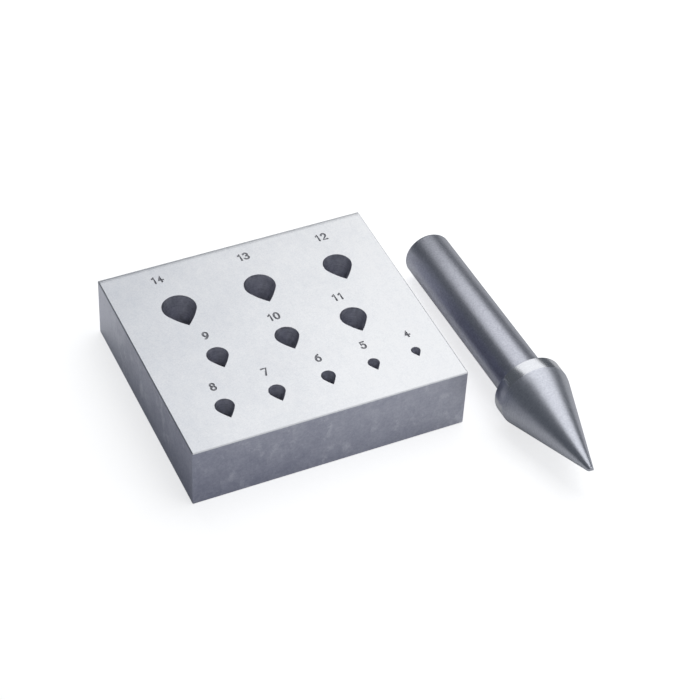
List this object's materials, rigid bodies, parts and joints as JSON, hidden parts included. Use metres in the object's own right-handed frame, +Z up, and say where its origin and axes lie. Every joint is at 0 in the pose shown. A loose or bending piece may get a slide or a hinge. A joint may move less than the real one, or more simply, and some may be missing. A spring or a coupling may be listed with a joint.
{
  "type": "bezel block",
  "caption": "Flat steel forming block with rows of tapered pear-shaped holes in falling sizes, and the matching tapered pear punch that trues a stone's bezel in them.",
  "frame": {"origin": "centre of the block's underside, on the surface that it stands on", "axes": "+X to the right along the front edge, +Y towards the back row of large holes, +Z up out of the top face"},
  "size_m": [0.1237, 0.1246, 0.0235],
  "materials": {
    "block_steel": "surface-ground satin top, greyer milled sides",
    "punch_steel": "turned and fine-ground satin, darker grey"
  },
  "bodies": {
    "block_body": {"block": "block_steel"},
    "punch_body": {"punch": "punch_steel"}
  },
  "joints": [
    {"name": "punch_lift", "type": "slide", "parent": "block_body", "child": "punch_body", "axis": [0, 0, 1], "range_m": [0, 0.1]}
  ]
}
